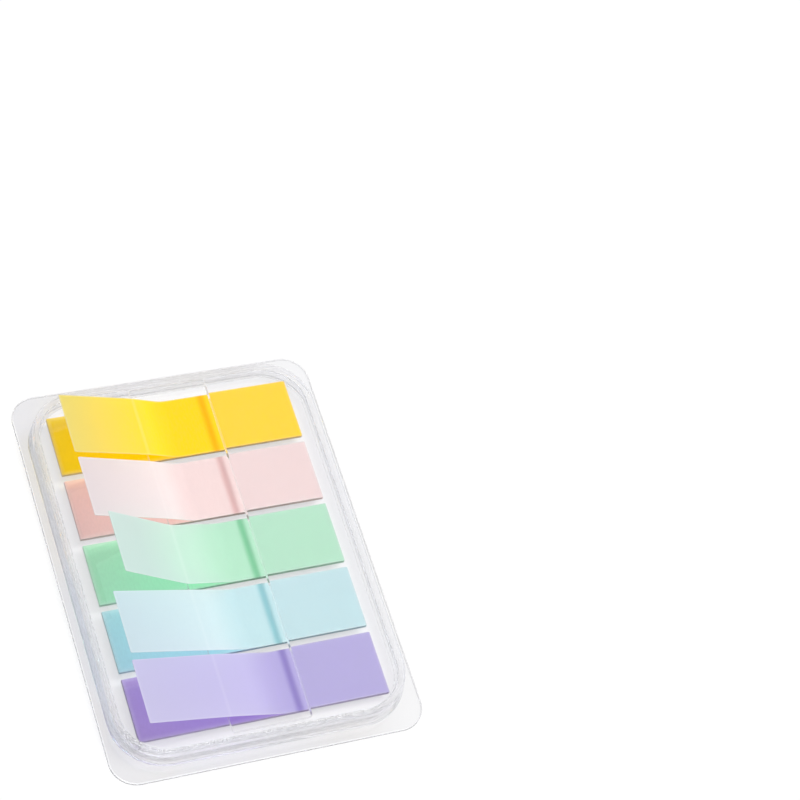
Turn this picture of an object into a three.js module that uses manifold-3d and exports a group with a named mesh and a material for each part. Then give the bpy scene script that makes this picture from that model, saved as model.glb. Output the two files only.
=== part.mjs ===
// Sticky index tabs: five pads of translucent film flags lying side by side in a flat clear
// dispenser case. The cover has one long window. The top flag of each pad comes up through
// it and stands off the cover, ready to be pulled.
// Millimetres. X runs along the flags, Y across the row of pads, Z is up. The origin is the
// middle of the case's underside.
import * as THREE from "three";
import { mergeVertices } from "three/addons/utils/BufferGeometryUtils.js";
import Module from "manifold-3d";

const wasm = await Module();
wasm.setup();

// Flags and pads
const flagLength = 45;
const flagWidth = 12;
const filmThickness = 0.1;
const padThickness = 0.7;
const padPitch = 13.3;
const padOffset = -0.15; // the pads lie a touch left of the middle of the case

// Base plate
const flangeWidth = 56.4;
const flangeLength = 78.2;
const flangeThickness = 0.6;
const flangeRadius = 4.8;
const flangeEdge = 0.2; // softened edge all round
const platformHeight = 1.2;

// Cover
const coverWidth = 53.4;
const coverLength = 74;
const coverHeight = 4.04;
const coverRadius = 9.6;
const coverDraft = 0.5; // each side leans in by this much over the height
const coverShoulder = 0.55;
const coverWall = 1.1;
const topPlate = 1.1;
const platformClearance = 0.3;

// Window in the cover
const windowWidth = 14.2;
const windowLength = 69.6;
const windowOffset = 0.15;
const windowRadius = 0.5;

// Each flag leaves its pad at a share of the window's width, counted from the window's left
// edge, passes over that edge with some room under it, and from there keeps its last slope.
const flags = [
  { colour: "yellow", tint: "#ffd21f", liftShare: 0.5, overEdge: 0.5, endSlope: 20.5 },
  { colour: "pink", tint: "#f3c9c6", liftShare: 0.46, overEdge: 0.3, endSlope: 22.5 },
  { colour: "green", tint: "#8fdcaa", liftShare: 0.72, overEdge: 0.3, endSlope: 36.5 },
  { colour: "blue", tint: "#9fdfea", liftShare: 0.62, overEdge: 0.4, endSlope: 18.5 },
  { colour: "purple", tint: "#9f8fe0", liftShare: 0.86, overEdge: 1.3, endSlope: 14.5 },
];
const liftBend = 3; // length of film over which the first bend is made
const edgeBend = 3; // and the second, centred on the window's left edge

const cornerSteps = 10;
const shoulderSteps = 5;
const bendSteps = 8;

const baseTop = flangeThickness + platformHeight;
const padTop = baseTop + padThickness;
const coverTop = flangeThickness + coverHeight;
const windowLeft = windowOffset - windowWidth / 2;

// Points of a rounded rectangle, anticlockwise, as the outline of one level of a solid.
function roundedRing(width, length, radius, z) {
  const points = [];
  for (let corner = 0; corner < 4; corner++) {
    const signX = corner === 0 || corner === 3 ? 1 : -1;
    const signY = corner < 2 ? 1 : -1;
    const centreX = signX * (width / 2 - radius);
    const centreY = signY * (length / 2 - radius);
    for (let step = 0; step <= cornerSteps; step++) {
      const angle = (corner + step / cornerSteps) * (Math.PI / 2);
      points.push(
        new THREE.Vector3(centreX + radius * Math.cos(angle), centreY + radius * Math.sin(angle), z),
      );
    }
  }
  return points;
}

// A closed solid through a stack of rings, lowest first, with a flat lid at each end.
function loft(rings) {
  const count = rings[0].length;
  const positions = rings.flat().flatMap((point) => point.toArray());
  const faces = [];
  for (let level = 0; level + 1 < rings.length; level++) {
    for (let i = 0; i < count; i++) {
      const a = level * count + i;
      const b = level * count + ((i + 1) % count);
      faces.push(a, b, b + count, a, b + count, a + count);
    }
  }
  const topStart = (rings.length - 1) * count;
  for (let i = 1; i + 1 < count; i++) {
    faces.push(0, i + 1, i);
    faces.push(topStart, topStart + i, topStart + i + 1);
  }
  const geometry = new THREE.BufferGeometry();
  geometry.setAttribute("position", new THREE.Float32BufferAttribute(positions, 3));
  geometry.setIndex(faces);
  return geometry;
}

// Rings that round a solid's rim over: inward by the radius while going up by it.
function roundedTop(width, length, radius, z, round, steps) {
  const rings = [];
  for (let step = 0; step <= steps; step++) {
    const angle = (step / steps) * (Math.PI / 2);
    const inset = round * (1 - Math.cos(angle));
    const height = round * Math.sin(angle);
    rings.push(roundedRing(width - 2 * inset, length - 2 * inset, radius - inset, z + height));
  }
  return rings;
}

function toSolid(geometry) {
  const bare = geometry.clone();
  bare.deleteAttribute("normal");
  bare.deleteAttribute("uv");
  const merged = mergeVertices(bare, 1e-4);
  return new wasm.Manifold(
    new wasm.Mesh({
      numProp: 3,
      vertProperties: merged.attributes.position.array,
      triVerts: new Uint32Array(merged.index.array),
    }),
  );
}

function toGeometry(solid) {
  const mesh = solid.getMesh();
  const positions = new Float32Array(mesh.numVert * 3);
  for (let i = 0; i < mesh.numVert; i++) {
    positions.set(mesh.vertProperties.subarray(i * mesh.numProp, i * mesh.numProp + 3), i * 3);
  }
  const geometry = new THREE.BufferGeometry();
  geometry.setAttribute("position", new THREE.BufferAttribute(positions, 3));
  geometry.setIndex(new THREE.BufferAttribute(mesh.triVerts, 1));
  geometry.computeVertexNormals();
  return geometry;
}

// The base plate: a thin flange with a raised platform that the pads are stuck to and that
// locates the cover.
function baseGeometry() {
  const flange = toSolid(
    loft([
      roundedRing(
        flangeWidth - 2 * flangeEdge,
        flangeLength - 2 * flangeEdge,
        flangeRadius - flangeEdge,
        0,
      ),
      roundedRing(flangeWidth, flangeLength, flangeRadius, flangeEdge),
      ...roundedTop(
        flangeWidth,
        flangeLength,
        flangeRadius,
        flangeThickness - flangeEdge,
        flangeEdge,
        2,
      ),
    ]),
  );
  const inset = 2 * (coverWall + coverDraft + platformClearance);
  const width = coverWidth - inset;
  const length = coverLength - inset;
  const radius = coverRadius - inset / 2;
  const edge = platformHeight / 4;
  const platform = toSolid(
    loft([
      roundedRing(width, length, radius, flangeThickness / 2),
      ...roundedTop(width, length, radius, baseTop - edge, edge, 2),
    ]),
  );
  return toGeometry(flange.add(platform));
}

// The cover: one moulded shell with drafted sides, a rounded shoulder and a flat top plate
// that the window is cut through.
function coverGeometry() {
  const shoulderStart = coverHeight - coverShoulder;
  const lean = (coverDraft * shoulderStart) / coverHeight;
  const outer = toSolid(
    loft([
      roundedRing(coverWidth, coverLength, coverRadius, 0),
      ...roundedTop(
        coverWidth - 2 * lean,
        coverLength - 2 * lean,
        coverRadius - lean,
        shoulderStart,
        coverShoulder,
        shoulderSteps,
      ),
    ]),
  );
  const ceiling = coverHeight - topPlate;
  const innerWidth = coverWidth - 2 * coverWall;
  const innerLength = coverLength - 2 * coverWall;
  const innerRadius = coverRadius - coverWall;
  const innerRound = coverShoulder / 2;
  const inner = toSolid(
    loft([
      roundedRing(innerWidth, innerLength, innerRadius, -1),
      ...roundedTop(
        innerWidth - 2 * coverDraft,
        innerLength - 2 * coverDraft,
        innerRadius - coverDraft,
        ceiling - innerRound,
        innerRound,
        3,
      ),
    ]),
  );
  const windowCut = toSolid(
    loft([
      roundedRing(windowWidth, windowLength, windowRadius, ceiling - 1),
      roundedRing(windowWidth, windowLength, windowRadius, coverHeight + 1),
    ]).translate(windowOffset, 0, 0),
  );
  return toGeometry(outer.subtract(inner).subtract(windowCut));
}

// The side view of a raised flag from its fixed end to its free end, with the middle of the
// pad's top as its origin: the heading of the film is integrated along its length.
function followFilm(liftSlope, endSlope, liftAt, edgeAt) {
  const liftRun = flagLength / 2 - liftAt;
  const edgeRun = liftRun + (liftAt - edgeAt) / Math.cos(liftSlope);
  const ease = (run, from, length) => THREE.MathUtils.smoothstep((run - from) / length, 0, 1);
  const heading = (run) =>
    liftSlope * ease(run, liftRun, liftBend) +
    (endSlope - liftSlope) * ease(run, edgeRun - edgeBend / 2, edgeBend);
  const runs = [0, liftRun];
  for (let i = 1; i <= bendSteps; i++) runs.push(liftRun + (liftBend * i) / bendSteps);
  for (let i = 0; i <= bendSteps; i++) runs.push(edgeRun + edgeBend * (i / bendSteps - 0.5));
  runs.push(flagLength);
  const path = [{ x: flagLength / 2, z: 0, angle: 0 }];
  for (let i = 1; i < runs.length; i++) {
    const last = path[path.length - 1];
    const step = runs[i] - runs[i - 1];
    const middle = heading((runs[i] + runs[i - 1]) / 2);
    path.push({
      x: last.x - step * Math.cos(middle),
      z: last.z + step * Math.sin(middle),
      angle: heading(runs[i]),
    });
  }
  return path;
}

function heightAt(path, x) {
  const i = path.findIndex((point) => point.x <= x);
  const before = path[i - 1];
  const after = path[i];
  return before.z + ((after.z - before.z) * (before.x - x)) / (before.x - after.x);
}

// The first slope is the one that brings the film over the window's left edge with its room.
function flagPath({ liftShare, overEdge, endSlope }) {
  const edgeAt = windowLeft - padOffset;
  const liftAt = edgeAt + liftShare * windowWidth;
  const wanted = coverTop - padTop + overEdge;
  const last = THREE.MathUtils.degToRad(endSlope);
  let low = 0;
  let high = Math.PI / 3;
  for (let i = 0; i < 30; i++) {
    const middle = (low + high) / 2;
    if (heightAt(followFilm(middle, last, liftAt, edgeAt), edgeAt) < wanted) low = middle;
    else high = middle;
  }
  return followFilm(high, last, liftAt, edgeAt);
}

// A flag: its side view thickened to the film and extruded across its width.
function flagGeometry(flag) {
  const path = flagPath(flag);
  const under = path.map(({ x, z }) => new THREE.Vector2(x, z));
  const over = path.map(
    ({ x, z, angle }) =>
      new THREE.Vector2(x + filmThickness * Math.sin(angle), z + filmThickness * Math.cos(angle)),
  );
  const outline = new THREE.Shape([...under, ...over.reverse()]);
  const geometry = new THREE.ExtrudeGeometry(outline, {
    depth: flagWidth,
    bevelEnabled: false,
    steps: 1,
  });
  // From the outline's XY plane to XZ, centred on the row.
  return geometry.rotateX(Math.PI / 2).translate(0, flagWidth / 2, 0);
}

function piece(name, geometry, settings, position) {
  const mesh = new THREE.Mesh(geometry, new THREE.MeshStandardMaterial(settings));
  mesh.name = name;
  mesh.position.set(...position);
  return mesh;
}

const clearPlastic = {
  color: "#e9edf0",
  roughness: 0.12,
  metalness: 0,
  transparent: true,
  opacity: 0.3,
};

const dispenser = new THREE.Group();
dispenser.add(piece("case_base", baseGeometry(), clearPlastic, [0, 0, 0]));
dispenser.add(piece("case_cover", coverGeometry(), clearPlastic, [0, 0, flangeThickness]));
flags.forEach((flag, i) => {
  const y = ((flags.length - 1) / 2 - i) * padPitch;
  const film = { color: flag.tint, roughness: 0.45, metalness: 0 };
  const block = new THREE.BoxGeometry(flagLength, flagWidth, padThickness);
  block.translate(0, 0, padThickness / 2);
  dispenser.add(piece(`pad_${flag.colour}`, block, film, [padOffset, y, baseTop]));
  const sheet = { ...film, transparent: true, opacity: 0.8 };
  dispenser.add(piece(`flag_${flag.colour}`, flagGeometry(flag), sheet, [padOffset, y, padTop]));
});

export default dispenser;
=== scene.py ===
import math

import bmesh
import bpy
from mathutils import Matrix, Vector


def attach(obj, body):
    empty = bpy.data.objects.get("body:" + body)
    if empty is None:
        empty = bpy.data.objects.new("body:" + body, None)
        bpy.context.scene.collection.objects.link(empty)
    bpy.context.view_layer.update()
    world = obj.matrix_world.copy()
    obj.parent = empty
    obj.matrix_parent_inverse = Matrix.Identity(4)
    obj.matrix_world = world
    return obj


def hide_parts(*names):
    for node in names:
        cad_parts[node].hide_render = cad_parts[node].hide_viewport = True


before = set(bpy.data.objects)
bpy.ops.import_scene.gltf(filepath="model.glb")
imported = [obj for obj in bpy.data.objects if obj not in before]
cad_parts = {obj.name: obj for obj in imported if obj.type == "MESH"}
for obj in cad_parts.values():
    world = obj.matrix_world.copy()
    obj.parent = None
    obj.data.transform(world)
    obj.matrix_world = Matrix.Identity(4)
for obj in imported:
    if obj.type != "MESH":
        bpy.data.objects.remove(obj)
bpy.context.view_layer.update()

scene = bpy.context.scene
mm = 0.001
print("stage: frame loaded,", len(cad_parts), "nodes")


# Camera, at the angle the photograph was taken from
cameraLook = {
    "place": (-0.122696, -0.212709, 0.414955),
    "right": (0.93206, -0.301676, 0.200637),
    "up": (0.152265, 0.828668, 0.538633),
    "back": (-0.328754, -0.471488, 0.818303),
    "lens": 122.0407,
}


def makeCamera(look):
    data = bpy.data.cameras.new("photoCamera")
    data.lens = look["lens"]
    data.sensor_width = 36.0
    data.clip_start = 0.01
    data.clip_end = 20.0
    camera = bpy.data.objects.new("photoCamera", data)
    scene.collection.objects.link(camera)
    turn = Matrix((look["right"], look["up"], look["back"])).transposed()
    camera.matrix_world = Matrix.Translation(look["place"]) @ turn.to_4x4()
    scene.camera = camera


makeCamera(cameraLook)
print("stage: camera placed")


# Node trees are written as nested calls: each call makes a node and returns it.
class NodeTree:
    def __init__(self, tree):
        self.tree = tree

    def node(self, kind, settings=None, **inputs):
        made = self.tree.nodes.new(kind)
        for name, value in (settings or {}).items():
            setattr(made, name, value)
        for name, value in inputs.items():
            key = int(name[1:]) if name[0] == "i" and name[1:].isdigit() else name.replace("_", " ")
            self.feed(made.inputs[key], value)
        return made

    def feed(self, socket, value):
        if isinstance(value, bpy.types.Node):
            value = next(out for out in value.outputs if out.enabled)
        if isinstance(value, bpy.types.NodeSocket):
            self.tree.links.new(value, socket)
        else:
            socket.default_value = value

    def math(self, operation, first, second=0.0, third=0.0, clamp=False):
        settings = {"operation": operation, "use_clamp": clamp}
        return self.node("ShaderNodeMath", settings, i0=first, i1=second, i2=third)

    def mixColour(self, factor, first, second, blend="MIX"):
        made = self.tree.nodes.new("ShaderNodeMix")
        made.data_type = "RGBA"
        made.blend_type = blend
        self.feed(made.inputs["Factor"], factor)
        self.feed(made.inputs["A"], first)
        self.feed(made.inputs["B"], second)
        return made.outputs["Result"]

    def mixNumber(self, factor, first, second):
        made = self.tree.nodes.new("ShaderNodeMix")
        self.feed(made.inputs["Factor"], factor)
        self.feed(made.inputs["A"], first)
        self.feed(made.inputs["B"], second)
        return made.outputs["Result"]

    def ramp(self, factor, fromLow, fromHigh, toLow=0.0, toHigh=1.0, smooth=True):
        settings = {"interpolation_type": "SMOOTHSTEP" if smooth else "LINEAR"}
        made = self.node("ShaderNodeMapRange", settings)
        for name, value in zip(
            ("Value", "From Min", "From Max", "To Min", "To Max"),
            (factor, fromLow, fromHigh, toLow, toHigh),
        ):
            self.feed(made.inputs[name], value)
        return made.outputs["Result"]

    def noise(self, scale, detail=2.0, stretch=(1, 1, 1)):
        where = self.node("ShaderNodeTexCoord").outputs["Object"]
        placed = self.node("ShaderNodeMapping", Vector=where, Scale=stretch)
        made = self.node("ShaderNodeTexNoise", Vector=placed, Scale=scale, Detail=detail)
        return made.outputs["Fac"]


def emptyMaterial(name):
    material = bpy.data.materials.new(name)
    material.use_nodes = True
    material.node_tree.nodes.clear()
    return material, NodeTree(material.node_tree)


def linear(red, green, blue):
    def one(value):
        value /= 255.0
        return value / 12.92 if value <= 0.04045 else ((value + 0.055) / 1.055) ** 2.4

    return (one(red), one(green), one(blue), 1.0)


white = (1.0, 1.0, 1.0, 1.0)

# Clear plastic of the case
casePlastic = {
    "tint": linear(254, 254, 255),
    # Painted shade: grey tint of the outer wall on all sides but the near one
    "paintedWallShade": linear(224, 228, 236),
    "greyTint": linear(224, 223, 228),
    "warmTint": linear(227, 224, 219),
    # The flange's tint turns lighter towards its right side
    "flangeLighterRight": 0.75,
    "flangeLighterRightFrom": (0.012, 0.026),
    "ior": 1.55,
    "shine": 0.25,
    "roughness": 0.004,
    "steepRoughness": 0.07,
    "steepOpen": 0.6,
    "ripple": 0.000002,
    "shadowThroughFlat": linear(255, 255, 255),
    "shadowThroughEdge": linear(225, 225, 228),
    "shadowThroughCut": linear(238, 238, 239),
    "steepToFlat": (0.8, 0.995),
    "holdsToPasses": (0.25, 0.9),
    "cutOpen": 0.8,
    "cutChalk": 0.8,
    "chalkColour": (0.95, 0.95, 0.95, 1.0),
    "stepOpen": 0.7,
}


def makeClearPlastic(name, look, edge, opened, roughness=None, tinted=None, chalk=0.0):
    material, nodes = emptyMaterial(name)
    ripple = nodes.noise(260.0, 2.0)
    wear = nodes.noise(2600.0, 3.0)
    geometry = nodes.node("ShaderNodeNewGeometry")
    facing = nodes.node("ShaderNodeSeparateXYZ", Vector=geometry.outputs["True Normal"])
    upright = nodes.math("ABSOLUTE", facing.outputs["Z"])
    bump = nodes.node("ShaderNodeBump", Height=ripple, Distance=look["ripple"], Strength=0.35)
    body = nodes.node("ShaderNodeBsdfPrincipled", Normal=bump, IOR=look["ior"])
    tone = look["tint"]
    if tinted == "cloud":
        cloud = nodes.ramp(nodes.noise(34.0, 1.0), 0.4, 0.62)
        tone = nodes.mixColour(cloud, look["greyTint"], look["warmTint"])
        # The flange's tint turns lighter towards its right side
        where = nodes.node("ShaderNodeTexCoord").outputs["Object"]
        across = nodes.node("ShaderNodeSeparateXYZ", Vector=where).outputs["X"]
        lighterRight = nodes.ramp(across, *look["flangeLighterRightFrom"], 0.0, look["flangeLighterRight"])
        tone = nodes.mixColour(lighterRight, tone, look["tint"])
    if tinted == "wall":
        # Painted shade: the outer wall is tinted greyer on every side but the near one
        away = nodes.ramp(facing.outputs["Y"], -0.95, 0.0)
        tone = nodes.mixColour(away, look["tint"], look["paintedWallShade"])
    nodes.feed(body.inputs["Base Color"], tone)
    body.inputs["Transmission Weight"].default_value = 1.0
    body.inputs["Specular IOR Level"].default_value = look["shine"]
    steep = look["steepRoughness"] if roughness is None else roughness
    polish = nodes.ramp(upright, *look["steepToFlat"], steep, look["roughness"])
    worn = nodes.ramp(wear, 0.4, 0.8, 1.0, 1.3)
    nodes.feed(body.inputs["Roughness"], nodes.math("MULTIPLY", polish, worn))
    if chalk:
        inside = nodes.node("ShaderNodeBsdfTranslucent", Color=look["chalkColour"])
        dull = nodes.node("ShaderNodeBsdfDiffuse", Color=look["chalkColour"])
        cut = nodes.node("ShaderNodeMixShader", i0=0.3, i1=inside, i2=dull)
        body = nodes.node("ShaderNodeMixShader", i0=chalk, i1=body, i2=cut)
    # Lamps reach the pads through the flat plates, and edges hold their light back. Steep
    # faces of the thin mouldings also let a part of the view straight through.
    flatness = nodes.ramp(upright, *look["holdsToPasses"])
    passing = nodes.mixColour(flatness, edge, look["shadowThroughFlat"])
    path = nodes.node("ShaderNodeLightPath")
    lets = nodes.math(
        "MAXIMUM", path.outputs["Is Shadow Ray"], path.outputs["Is Diffuse Ray"], clamp=True
    )
    passing = nodes.mixColour(lets, tone, passing)
    lets = nodes.math("MAXIMUM", lets, nodes.ramp(upright, *look["steepToFlat"], opened, 0.0))
    clear = nodes.node("ShaderNodeBsdfTransparent", Color=passing)
    both = nodes.node("ShaderNodeMixShader", i0=lets, i1=body, i2=clear)
    nodes.node("ShaderNodeOutputMaterial", Surface=both)
    return material


# Colours of the five flags, from the far side to the near side. The film looks paler where it
# has left its pad. The deep colour is painted shade for the film beside the window's right edge.
flagColours = {
    "yellow": {
        "pad": linear(255, 219, 0),
        "film": linear(255, 237, 52),
        "raised": linear(237, 226, 142),
        "deepFleckAndPaintedShade": linear(252, 207, 0),
    },
    "pink": {
        "pad": linear(249, 204, 198),
        "film": linear(244, 241, 241),
        "raised": linear(233, 227, 229),
        "deepFleckAndPaintedShade": linear(228, 202, 201),
    },
    "green": {
        "pad": linear(176, 241, 198),
        "film": linear(223, 240, 232),
        "raised": linear(218, 231, 228),
        "deepFleckAndPaintedShade": linear(140, 216, 178),
    },
    "blue": {
        "pad": linear(180, 229, 235),
        "film": linear(232, 241, 242),
        "raised": linear(218, 230, 235),
        "deepFleckAndPaintedShade": linear(162, 216, 221),
    },
    "purple": {
        "pad": linear(182, 154, 218),
        "film": linear(221, 217, 240),
        "raised": linear(218, 215, 236),
        "deepFleckAndPaintedShade": linear(174, 155, 220),
    },
}

padFinish = {
    "roughness": 0.5,
    "grain": 0.000004,
    "glow": 0.15,
    "glowDepth": 0.0005,
    # Painted light: how much the sheets' cut sides are paled
    "paintedSideLight": 0.55,
    # Painted light: a paler band along the pad's edges, and its width
    "paintedRimLight": 0.16,
    "paintedRimLightWidth": 0.0009,
    "shine": 0.15,
    "half": (0.0225, 0.006),
    "offset": -0.00015,
    "pitch": 0.0133,
}


def makePadMaterial(name, colour, look, middleY):
    material, nodes = emptyMaterial(name)
    grain = nodes.noise(9000.0, 3.0, (0.5, 1.0, 1.0))
    fleck = nodes.noise(3200.0, 3.0, (1.0, 0.35, 1.0))
    deepFleckAndPaintedShade = tuple(c * 0.95 for c in colour[:3]) + (1.0,)
    tone = nodes.mixColour(nodes.ramp(fleck, 0.3, 0.75), colour, deepFleckAndPaintedShade)
    where = nodes.node("ShaderNodeTexCoord").outputs["Object"]
    place = nodes.node("ShaderNodeSeparateXYZ", Vector=where).outputs
    inner = []
    for axis, middle, half in zip("XY", (look["offset"], middleY), look["half"]):
        away = nodes.math("ABSOLUTE", nodes.math("SUBTRACT", place[axis], middle))
        inner.append(nodes.math("SUBTRACT", half, away))
    nearest = nodes.math("MINIMUM", *inner)
    # Painted light: the pad's colour is paled in a thin band along its edges
    rim = nodes.ramp(nearest, 0.0, look["paintedRimLightWidth"], look["paintedRimLight"], 0.0)
    tone = nodes.mixColour(rim, tone, white)
    # Painted light: the sheets' cut edges are painted paler than their faces, for the light they
    # scatter
    side = nodes.node("ShaderNodeNewGeometry").outputs["True Normal"]
    upright = nodes.math("ABSOLUTE", nodes.node("ShaderNodeSeparateXYZ", Vector=side).outputs["Z"])
    paintedSideLight = tuple(c + (1.0 - c) * look["paintedSideLight"] for c in colour[:3]) + (1.0,)
    tone = nodes.mixColour(nodes.ramp(upright, 0.2, 0.8), paintedSideLight, tone)
    bump = nodes.node("ShaderNodeBump", Height=grain, Distance=look["grain"], Strength=0.3)
    body = nodes.node("ShaderNodeBsdfPrincipled", Normal=bump)
    nodes.feed(body.inputs["Base Color"], tone)
    nodes.feed(
        body.inputs["Roughness"],
        nodes.ramp(grain, 0.3, 0.7, look["roughness"] - 0.06, look["roughness"] + 0.08),
    )
    body.inputs["Specular IOR Level"].default_value = look["shine"]
    body.inputs["Subsurface Weight"].default_value = look["glow"]
    body.inputs["Subsurface Radius"].default_value = (1.0, 1.0, 1.0)
    body.inputs["Subsurface Scale"].default_value = look["glowDepth"]
    nodes.node("ShaderNodeOutputMaterial", Surface=body)
    return material


filmFinish = {
    "roughness": 0.42,
    "through": 0.4,
    "shadowThrough": 0.78,
    "seeThroughFlat": 0.32,
    "seeThroughRaised": 0.1,
    "clearUpTo": 0.0027,
    "milkyFrom": 0.0045,
    "wash": 0.4,
    "grain": 0.000003,
    "lowest": 0.004,
    "highest": 0.0105,
    # Painted light: how much the film is whitened towards its cut edges
    "paintedEdgeLight": 0.22,
    # Painted highlight line where the film bends over the window's edge
    "paintedCreaseLight": 0.12,
    "paintedCreaseLightAt": -0.00695,
    "paintedCreaseLightWidth": 0.0005,
    # Painted shade band beside the window's right edge: its strength, place and width
    "deepFleckAndPaintedShade": 0.58,
    "paintedShadeAt": 0.00612,
    "paintedShadeWidth": 0.00115,
}


def makeFilmMaterial(name, colours, look):
    material, nodes = emptyMaterial(name)
    grain = nodes.noise(9000.0, 3.0, (0.5, 1.0, 1.0))
    where = nodes.node("ShaderNodeTexCoord").outputs["Object"]
    place = nodes.node("ShaderNodeSeparateXYZ", Vector=where).outputs
    height = place["Z"]
    lifted = nodes.ramp(height, look["lowest"], look["highest"], smooth=False)
    fleck = nodes.ramp(nodes.noise(3200.0, 3.0, (1.0, 0.35, 1.0)), 0.3, 0.75, 0.0, 0.16)
    tone = nodes.mixColour(lifted, colours["film"], colours["raised"])
    tone = nodes.mixColour(fleck, tone, colours["raised"])
    # Painted light: the film's colour is whitened towards its cut edges
    inner = nodes.node("ShaderNodeAttribute", {"attribute_name": "fromEdge"}).outputs["Fac"]
    paintedEdgeLightMask = nodes.ramp(inner, 0.0, 1.0, look["paintedEdgeLight"], 0.0)
    tone = nodes.mixColour(paintedEdgeLightMask, tone, white)
    # Painted highlight: a pale line on the film where it bends over the window's edge
    away = nodes.math("ABSOLUTE", nodes.math("SUBTRACT", place["X"], look["paintedCreaseLightAt"]))
    paintedCreaseLight = nodes.ramp(away, 0.0, look["paintedCreaseLightWidth"], look["paintedCreaseLight"], 0.0)
    tone = nodes.mixColour(paintedCreaseLight, tone, white)
    # Painted shade: beside the window's right edge the film's colour is deepened to the pad's full
    # colour, as if the film had no haze there; the lamp's real shadow of the edge falls there too
    away = nodes.math("ABSOLUTE", nodes.math("SUBTRACT", place["X"], look["paintedShadeAt"]))
    deepFleckAndPaintedShade = nodes.ramp(away, 0.0, look["paintedShadeWidth"], look["deepFleckAndPaintedShade"], 0.0)
    tone = nodes.mixColour(deepFleckAndPaintedShade, tone, colours["deepFleckAndPaintedShade"])
    bump = nodes.node("ShaderNodeBump", Height=grain, Distance=look["grain"], Strength=0.3)
    skin = nodes.node("ShaderNodeBsdfPrincipled", Normal=bump)
    nodes.feed(skin.inputs["Base Color"], tone)
    nodes.feed(
        skin.inputs["Roughness"],
        nodes.ramp(grain, 0.3, 0.7, look["roughness"] - 0.05, look["roughness"] + 0.08),
    )
    glow = nodes.node("ShaderNodeBsdfTranslucent", Color=tone)
    milky = nodes.node("ShaderNodeMixShader", i0=look["through"], i1=skin, i2=glow)
    passing = nodes.mixColour(look["wash"], tone, white)
    clear = nodes.node("ShaderNodeBsdfTransparent", Color=passing)
    path = nodes.node("ShaderNodeLightPath")
    # Matt film is clear where it lies on its pad and milky where it has left it
    seen = nodes.ramp(
        height,
        look["clearUpTo"],
        look["milkyFrom"],
        look["seeThroughFlat"],
        look["seeThroughRaised"],
    )
    share = nodes.mixNumber(path.outputs["Is Shadow Ray"], seen, look["shadowThrough"])
    both = nodes.node("ShaderNodeMixShader", i0=share, i1=milky, i2=clear)
    nodes.node("ShaderNodeOutputMaterial", Surface=both)
    return material


def caseMaterial(name, **changes):
    look = casePlastic
    given = {"edge": look["shadowThroughEdge"], "opened": look["steepOpen"], **changes}
    return makeClearPlastic("clearPlastic" + name, look, **given)


coverPlastic = caseMaterial("Cover")
basePlastic = caseMaterial("Base")
flangePlastic = caseMaterial("Flange", tinted="cloud")
wallPlastic = caseMaterial("WallPaintedShade", tinted="wall")
stepPlastic = caseMaterial("Step", roughness=0.25, opened=casePlastic["stepOpen"])
cutPlastic = caseMaterial(
    "Cut",
    roughness=0.2,
    edge=casePlastic["shadowThroughCut"],
    opened=casePlastic["cutOpen"],
    chalk=casePlastic["cutChalk"],
)
padMaterials = {
    key: makePadMaterial("padStack_" + key, value["pad"], padFinish, (2 - row) * padFinish["pitch"])
    for row, (key, value) in enumerate(flagColours.items())
}
filmMaterials = {
    key: makeFilmMaterial("film_" + key, value, filmFinish) for key, value in flagColours.items()
}
print("stage: materials made")


# Case: both mouldings are lofts through rounded rectangles
caseSizes = {
    "flange": (56.4, 78.2, 4.8),
    "flangeThickness": 0.6,
    "flangeEdge": 0.28,
    "platformTop": 1.8,
    "platformEdge": 0.3,
    "platformFillet": 0.15,
    "cover": (53.4, 74.0, 9.6),
    "coverFoot": 0.62,
    "footEdge": 0.06,
    "footLean": 0.02,
    "coverTop": 4.64,
    "shoulder": 0.55,
    "draft": 0.5,
    "wall": 1.1,
    "plate": 1.1,
    "clearance": 0.3,
    "window": (14.2, 69.6, 0.5),
    "windowOffset": 0.15,
    "windowEdge": 0.08,
    "support": 0.12,
    "cornerSteps": 24,
}


def outline(width, length, radius, height, shiftX=0.0):
    steps = caseSizes["cornerSteps"]
    points = []
    for corner in range(4):
        signX = 1 if corner in (0, 3) else -1
        signY = 1 if corner < 2 else -1
        for step in range(steps + 1):
            angle = (corner + step / steps) * math.pi / 2
            x = signX * (width / 2 - radius) + radius * math.cos(angle)
            y = signY * (length / 2 - radius) + radius * math.sin(angle)
            points.append(Vector((x + shiftX, y, height)) * mm)
    return points


def inset(size, by, height, shiftX=0.0):
    width, length, radius = size
    return outline(width - 2 * by, length - 2 * by, max(radius - by, 0.05), height, shiftX)


def quarter(steps):
    for step in range(steps + 1):
        angle = step / steps * math.pi / 2
        yield 1 - math.cos(angle), math.sin(angle)


def meshObject(name, build, material, smoothAngle=35.0):
    mesh = bpy.data.meshes.new(name)
    body = bmesh.new()
    build(body)
    bmesh.ops.remove_doubles(body, verts=body.verts, dist=1e-7)
    bmesh.ops.recalc_face_normals(body, faces=body.faces)
    body.to_mesh(mesh)
    body.free()
    mesh.materials.append(material)
    made = bpy.data.objects.new(name, mesh)
    scene.collection.objects.link(made)
    mesh.shade_smooth()
    mesh.set_sharp_from_angle(angle=math.radians(smoothAngle))
    return made


def loft(body, rings, closed, slots={}):
    levels = [[body.verts.new(point) for point in ring] for ring in rings]
    pairs = list(zip(levels, levels[1:]))
    if closed:
        pairs.append((levels[-1], levels[0]))
    for number, (low, high) in enumerate(pairs):
        count = len(low)
        for i in range(count):
            k = (i + 1) % count
            face = body.faces.new((low[i], low[k], high[k], high[i]))
            face.material_index = slots.get(number, 0)
    if not closed:
        body.faces.new(list(reversed(levels[0])))
        body.faces.new(levels[-1])


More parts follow.
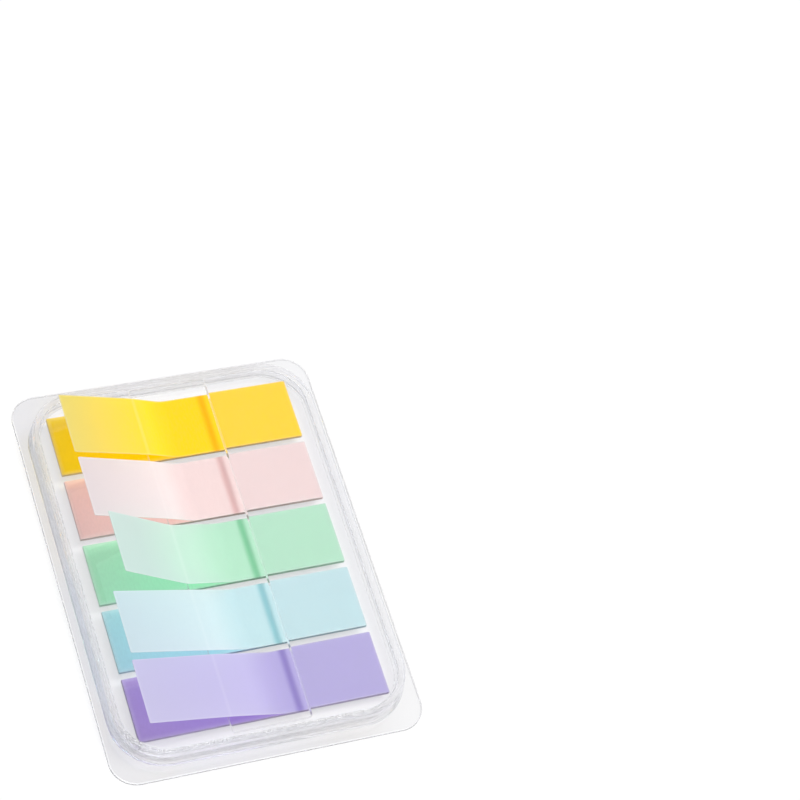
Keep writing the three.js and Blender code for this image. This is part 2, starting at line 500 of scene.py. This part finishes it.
def buildBase(body):
    size = caseSizes
    edge, thick, hold = size["flangeEdge"], size["flangeThickness"], size["support"]
    rings = [inset(size["flange"], edge + hold, 0.0)]
    rings += [inset(size["flange"], edge * v, edge * (1 - u)) for u, v in quarter(4)][::-1]
    rings += [inset(size["flange"], edge * u, thick - edge + edge * v) for u, v in quarter(5)]
    rimEnd = len(rings) - 1
    rings.append(inset(size["flange"], edge + hold, thick))
    foot = size["wall"] + size["draft"] + size["clearance"]
    top, rim, fillet = size["platformTop"], size["platformEdge"], size["platformFillet"]
    rings.append(inset(size["cover"], foot - fillet - hold, thick))
    stepStart = len(rings)
    rings += [
        inset(size["cover"], foot - fillet * (1 - v), thick + fillet * u) for u, v in quarter(4)
    ]
    rings += [inset(size["cover"], foot + rim * u, top - rim + rim * v) for u, v in quarter(6)]
    stepEnd = len(rings) - 1
    rings.append(inset(size["cover"], foot + rim + hold, top))
    soft = (*range(1, rimEnd), *range(stepStart, stepEnd))
    flat = range(rimEnd, stepStart)
    slots = {number: 1 for number in soft}
    loft(body, rings, closed=False, slots={**slots, **{number: 2 for number in flat}})


def buildCover(body):
    size = caseSizes
    foot, top = size["coverFoot"], size["coverTop"]
    shoulder, hold = size["shoulder"], size["support"]
    rise = top - shoulder - foot
    lean = size["draft"] * rise / (top - foot)
    toe = size["footEdge"]
    rings = [inset(size["cover"], toe + hold, foot), inset(size["cover"], toe, foot)]
    rings.append(inset(size["cover"], 0.0, foot + toe))
    rings.append(inset(size["cover"], size["footLean"], foot + toe + hold))
    rings += [
        inset(size["cover"], lean + shoulder * u, top - shoulder + shoulder * v)
        for u, v in quarter(10)
    ]
    rings.append(inset(size["cover"], lean + shoulder + hold, top))
    edge, shift = size["windowEdge"], size["windowOffset"]
    ceiling = top - size["plate"]
    rings.append(inset(size["window"], -edge - hold, top, shift))
    cutStart = len(rings)
    rings += [inset(size["window"], -edge * (1 - v), top - edge * u, shift) for u, v in quarter(4)]
    rings += [
        inset(size["window"], -edge * u, ceiling + edge * (1 - v), shift) for u, v in quarter(4)
    ]
    cutEnd = len(rings) - 1
    rings.append(inset(size["window"], -edge - hold, ceiling, shift))
    wall, draft = size["wall"], size["draft"]
    inner = shoulder / 2
    rings.append(inset(size["cover"], wall + draft + inner + hold, ceiling))
    rings += [
        inset(size["cover"], wall + draft + inner * (1 - v), ceiling - inner * u)
        for u, v in quarter(6)
    ]
    rings += [inset(size["cover"], wall, foot + hold), inset(size["cover"], wall, foot)]
    rings.append(inset(size["cover"], wall - hold, foot))
    last = len(rings) - 1
    cuts = {number: 1 for number in range(cutStart, cutEnd)}
    seams = {number: 2 for number in (0, 1, 2, last - 2, last - 1, last)}
    loft(body, rings, closed=True, slots={**cuts, **seams, 3: 3})


def finish(piece, slot, *nodes):
    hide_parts(*nodes)
    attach(piece, "root")
    return piece


base = meshObject("caseBase", buildBase, basePlastic)
for material in (stepPlastic, flangePlastic):
    base.data.materials.append(material)
finish(base, "clear_plastic", "case_base")
cover = meshObject("caseCover", buildCover, coverPlastic)
for material in (cutPlastic, stepPlastic, wallPlastic):
    cover.data.materials.append(material)
finish(cover, "clear_plastic", "case_cover")
print("stage: case made")


# Pads: each is a stack of cut sheets, a little out of line with each other
padSizes = {
    "length": 45.0,
    "width": 12.0,
    "thickness": 0.7,
    "sheets": 14,
    "gap": 0.006,
    "jitter": 0.035,
    "offset": -0.15,
    "pitch": 13.3,
    "lay": 0.004,
    "seed": 11,
}


def newTree(name, inputs):
    tree = bpy.data.node_groups.new(name, "GeometryNodeTree")
    tree.interface.new_socket("Geometry", in_out="INPUT", socket_type="NodeSocketGeometry")
    for label, kind, value in inputs:
        socket = tree.interface.new_socket(label, in_out="INPUT", socket_type=kind)
        socket.default_value = value
    tree.interface.new_socket("Geometry", in_out="OUTPUT", socket_type="NodeSocketGeometry")
    return tree, NodeTree(tree)


def makeStackTree():
    tree, nodes = newTree("sheetStack", [
        ("Length", "NodeSocketFloat", 0.045),
        ("Width", "NodeSocketFloat", 0.012),
        ("Sheet thickness", "NodeSocketFloat", 0.00005),
        ("Pitch", "NodeSocketFloat", 0.00005),
        ("Sheets", "NodeSocketInt", 14),
        ("Jitter", "NodeSocketFloat", 0.00003),
        ("Seed", "NodeSocketInt", 1),
    ])
    given = nodes.node("NodeGroupInput").outputs
    size = nodes.node(
        "ShaderNodeCombineXYZ", X=given["Length"], Y=given["Width"], Z=given["Sheet thickness"]
    )
    sheet = nodes.node("GeometryNodeMeshCube", Size=size)
    step = nodes.node("ShaderNodeCombineXYZ", Z=given["Pitch"])
    line = nodes.node("GeometryNodeMeshLine", Count=given["Sheets"], Offset=step)
    most = nodes.node("ShaderNodeCombineXYZ", X=given["Jitter"], Y=given["Jitter"])
    least = nodes.node("ShaderNodeVectorMath", {"operation": "SCALE"}, i0=most, Scale=-1.0)
    shift = nodes.node("FunctionNodeRandomValue", {"data_type": "FLOAT_VECTOR"})
    nodes.feed(shift.inputs[0], least)
    nodes.feed(shift.inputs[1], most)
    nodes.feed(shift.inputs["Seed"], given["Seed"])
    moved = nodes.node("GeometryNodeSetPosition", Geometry=line, Offset=shift)
    laid = nodes.node("GeometryNodeInstanceOnPoints", Points=moved, Instance=sheet.outputs["Mesh"])
    real = nodes.node("GeometryNodeRealizeInstances", Geometry=laid)
    dressed = nodes.node("GeometryNodeSetMaterial", Geometry=real)
    nodes.node("NodeGroupOutput", Geometry=dressed)
    return tree, dressed


def runTree(name, tree, values, material, start=None):
    source = bpy.data.objects.new(name + "Source", start or bpy.data.meshes.new(name + "Source"))
    scene.collection.objects.link(source)
    modifier = source.modifiers.new("make", "NODES")
    modifier.node_group = tree
    sockets = {
        item.name: item.identifier
        for item in tree.interface.items_tree
        if item.item_type == "SOCKET" and item.in_out == "INPUT"
    }
    for label, value in values.items():
        modifier[sockets[label]] = value
    evaluated = source.evaluated_get(bpy.context.evaluated_depsgraph_get())
    mesh = bpy.data.meshes.new_from_object(evaluated)
    mesh.name = name
    bpy.data.objects.remove(source)
    made = bpy.data.objects.new(name, mesh)
    scene.collection.objects.link(made)
    return made


stackTree, stackDress = makeStackTree()
for index, colour in enumerate(flagColours):
    size = padSizes
    pitch = size["thickness"] / size["sheets"]
    stackDress.inputs["Material"].default_value = padMaterials[colour]
    pad = runTree("padStack_" + colour, stackTree, {
        "Length": (size["length"] - 2 * size["jitter"]) * mm,
        "Width": (size["width"] - 2 * size["jitter"]) * mm,
        "Sheet thickness": (pitch - size["gap"]) * mm,
        "Pitch": pitch * mm,
        "Sheets": size["sheets"],
        "Jitter": size["jitter"] * mm,
        "Seed": size["seed"] + index,
    }, padMaterials[colour])
    y = (2 - index) * size["pitch"]
    lowest = caseSizes["platformTop"] + pitch / 2 + size["lay"]
    pad.data.transform(Matrix.Translation(Vector((size["offset"], y, lowest)) * mm))
    finish(pad, "pad_" + colour, "pad_" + colour)
print("stage: pads stacked")


# Raised flags: a film follows its path up through the window
flagSizes = {
    "length": 45.0,
    "width": 12.0,
    "thickness": 0.1,
    "liftBend": 3.0,
    "edgeBend": 3.0,
    "step": 0.25,
    "cornerRound": 0.08,
    "rim": 0.35,
}

flagLifts = {
    "yellow": {"share": 0.5, "overEdge": 0.5, "slope": 20.5},
    "pink": {"share": 0.46, "overEdge": 0.3, "slope": 22.5},
    "green": {"share": 0.72, "overEdge": 0.3, "slope": 36.5},
    "blue": {"share": 0.62, "overEdge": 0.4, "slope": 18.5},
    "purple": {"share": 0.86, "overEdge": 1.3, "slope": 14.5},
}


def smoothStep(value):
    value = min(1.0, max(0.0, value))
    return value * value * (3 - 2 * value)


def followFilm(firstSlope, lastSlope, liftAt, edgeAt):
    size = flagSizes
    liftRun = size["length"] / 2 - liftAt
    edgeRun = liftRun + (liftAt - edgeAt) / math.cos(firstSlope)
    x, z, run = size["length"] / 2, 0.0, 0.0
    path = [(x, z, 0.0)]
    while run < size["length"] - 1e-9:
        step = min(size["step"], size["length"] - run)
        middle = run + step / 2
        heading = firstSlope * smoothStep((middle - liftRun) / size["liftBend"])
        past = (middle - edgeRun) / size["edgeBend"] + 0.5
        heading += (lastSlope - firstSlope) * smoothStep(past)
        x -= step * math.cos(heading)
        z += step * math.sin(heading)
        run += step
        path.append((x, z, heading))
    return path


def heightAt(path, x):
    for before, after in zip(path, path[1:]):
        if after[0] <= x:
            part = (before[0] - x) / (before[0] - after[0])
            return before[1] + (after[1] - before[1]) * part
    return path[-1][1]


def flagPath(lift):
    windowLeft = caseSizes["windowOffset"] - caseSizes["window"][0] / 2
    edgeAt = windowLeft - padSizes["offset"]
    liftAt = edgeAt + lift["share"] * caseSizes["window"][0]
    padTop = caseSizes["platformTop"] + padSizes["thickness"]
    wanted = caseSizes["coverTop"] - padTop + lift["overEdge"]
    low, high = 0.0, math.pi / 3
    for _ in range(30):
        middle = (low + high) / 2
        reached = heightAt(followFilm(middle, math.radians(lift["slope"]), liftAt, edgeAt), edgeAt)
        low, high = (middle, high) if reached < wanted else (low, middle)
    return followFilm(high, math.radians(lift["slope"]), liftAt, edgeAt)


def buildFlag(body, path):
    size = flagSizes
    half, corner, film, rim = size["width"] / 2, size["cornerRound"], size["thickness"], size["rim"]
    # fromEdge tells the film material where to paint light along the film's edges
    glow = body.verts.layers.float.new("fromEdge")
    rows = []
    for number, (x, z, heading) in enumerate(path):
        run = min(number * size["step"], size["length"])
        fromEnd = min(run, size["length"] - run)
        pull = max(0.0, corner - fromEnd)
        side = half - corner + math.sqrt(max(0.0, corner * corner - pull * pull))
        places = (-side, rim - side, -half / 3, half / 3, side - rim, side)
        normal = Vector((math.sin(heading), 0.0, math.cos(heading)))
        row = []
        for lift, order in ((0.0, places), (film, tuple(reversed(places)))):
            for y in order:
                vert = body.verts.new((Vector((x, y, z)) + normal * lift) * mm)
                vert[glow] = min(1.0, (half - abs(y)) / rim, fromEnd / rim)
                row.append(vert)
        rows.append(row)
    for first, second in zip(rows, rows[1:]):
        count = len(first)
        for i in range(count):
            k = (i + 1) % count
            body.faces.new((first[i], first[k], second[k], second[i]))
    body.faces.new(rows[0])
    body.faces.new(list(reversed(rows[-1])))


for index, (colour, lift) in enumerate(flagLifts.items()):
    path = flagPath(lift)
    film = filmMaterials[colour]
    flag = meshObject("flag_film_" + colour, lambda body: buildFlag(body, path), film)
    y = (2 - index) * padSizes["pitch"]
    height = caseSizes["platformTop"] + padSizes["thickness"] + padSizes["lay"]
    flag.data.transform(Matrix.Translation(Vector((padSizes["offset"], y, height)) * mm))
    finish(flag, "film_" + colour, "flag_" + colour)
print("stage: flags raised")


# Floor, world and lamps
studio = {
    "floorSize": 3.0,
    "floorDrop": 0.00005,
    "floorGlow": 1.06,
    "floorColour": (0.9, 0.9, 0.9, 1.0),
    "floorOwnLight": 0.62,
    "floorThroughPlastic": 0.65,
    "skyLight": 0.5,
    "seenThrough": (0.5, 1.0),
    "mirrored": (0.9, 0.05),
    "glint": {"from": (-0.36, -0.5, 0.79), "edge": (0.72, 0.95), "strength": 3.0},
    "key": {"from": (0.55, 0.12, 1.0), "strength": 2.12, "softness": 18.0},
}


def makeFloor(look):
    material, nodes = emptyMaterial("floorWhite")
    lit = nodes.node("ShaderNodeBsdfDiffuse", Color=look["floorColour"])
    own = nodes.node("ShaderNodeEmission", Color=white, Strength=look["floorGlow"])
    path = nodes.node("ShaderNodeLightPath").outputs
    seen = nodes.math("ADD", path["Is Camera Ray"], path["Is Glossy Ray"], clamp=True)
    seen = nodes.math("ADD", seen, path["Is Transmission Ray"], clamp=True)
    level = nodes.mixNumber(
        path["Is Transmission Ray"], look["floorOwnLight"], look["floorThroughPlastic"]
    )
    share = nodes.math("MULTIPLY", seen, level)
    nodes.node(
        "ShaderNodeOutputMaterial",
        Surface=nodes.node("ShaderNodeMixShader", i0=share, i1=lit, i2=own),
    )
    half = look["floorSize"] / 2
    mesh = bpy.data.meshes.new("floor")
    low = -look["floorDrop"]
    mesh.from_pydata(
        [(-half, -half, low), (half, -half, low), (half, half, low), (-half, half, low)],
        [],
        [(0, 1, 2, 3)],
    )
    mesh.materials.append(material)
    floor = bpy.data.objects.new("floor", mesh)
    scene.collection.objects.link(floor)


def makeWorld(look):
    world = bpy.data.worlds.new("studio")
    world.use_nodes = True
    nodes = NodeTree(world.node_tree)
    world.node_tree.nodes.clear()
    direction = nodes.node("ShaderNodeTexCoord").outputs["Generated"]
    height = nodes.node("ShaderNodeSeparateXYZ", Vector=direction).outputs["Z"]
    through = nodes.ramp(height, 0.0, 0.5, *look["seenThrough"])
    mirror = nodes.ramp(height, 0.0, 0.7, *look["mirrored"])
    # A soft light high at the near left gives the rounded shoulders their bright streaks
    glint = look["glint"]
    toward = Vector(glint["from"]).normalized()
    dot = nodes.node("ShaderNodeVectorMath", {"operation": "DOT_PRODUCT"}, i0=direction, i1=toward)
    streak = nodes.ramp(dot.outputs["Value"], *glint["edge"], 0.0, glint["strength"])
    mirror = nodes.math("ADD", mirror, streak)
    path = nodes.node("ShaderNodeLightPath").outputs
    strength = look["skyLight"]
    for ray, level in (
        ("Is Glossy Ray", mirror),
        ("Is Transmission Ray", through),
        ("Is Camera Ray", 1.0),
    ):
        strength = nodes.mixNumber(path[ray], strength, level)
    back = nodes.node("ShaderNodeBackground", Color=white, Strength=strength)
    nodes.node("ShaderNodeOutputWorld", Surface=back)
    scene.world = world


def makeKey(look):
    data = bpy.data.lights.new("keyLight", "SUN")
    data.energy = look["strength"]
    data.angle = math.radians(look["softness"])
    lamp = bpy.data.objects.new("keyLight", data)
    lamp.visible_glossy = lamp.visible_transmission = False
    lamp.rotation_mode = "QUATERNION"
    lamp.rotation_quaternion = Vector(look["from"]).to_track_quat("Z", "Y")
    scene.collection.objects.link(lamp)


makeFloor(studio)
makeWorld(studio)
makeKey(studio["key"])
scene.view_settings.view_transform = "Standard"
scene.cycles.max_bounces = 32  # light crosses many faces of the clear walls
scene.cycles.transmission_bounces = 32
scene.cycles.glossy_bounces = 32
scene.cycles.transparent_max_bounces = 32
print("stage: floor, world and lamp made")
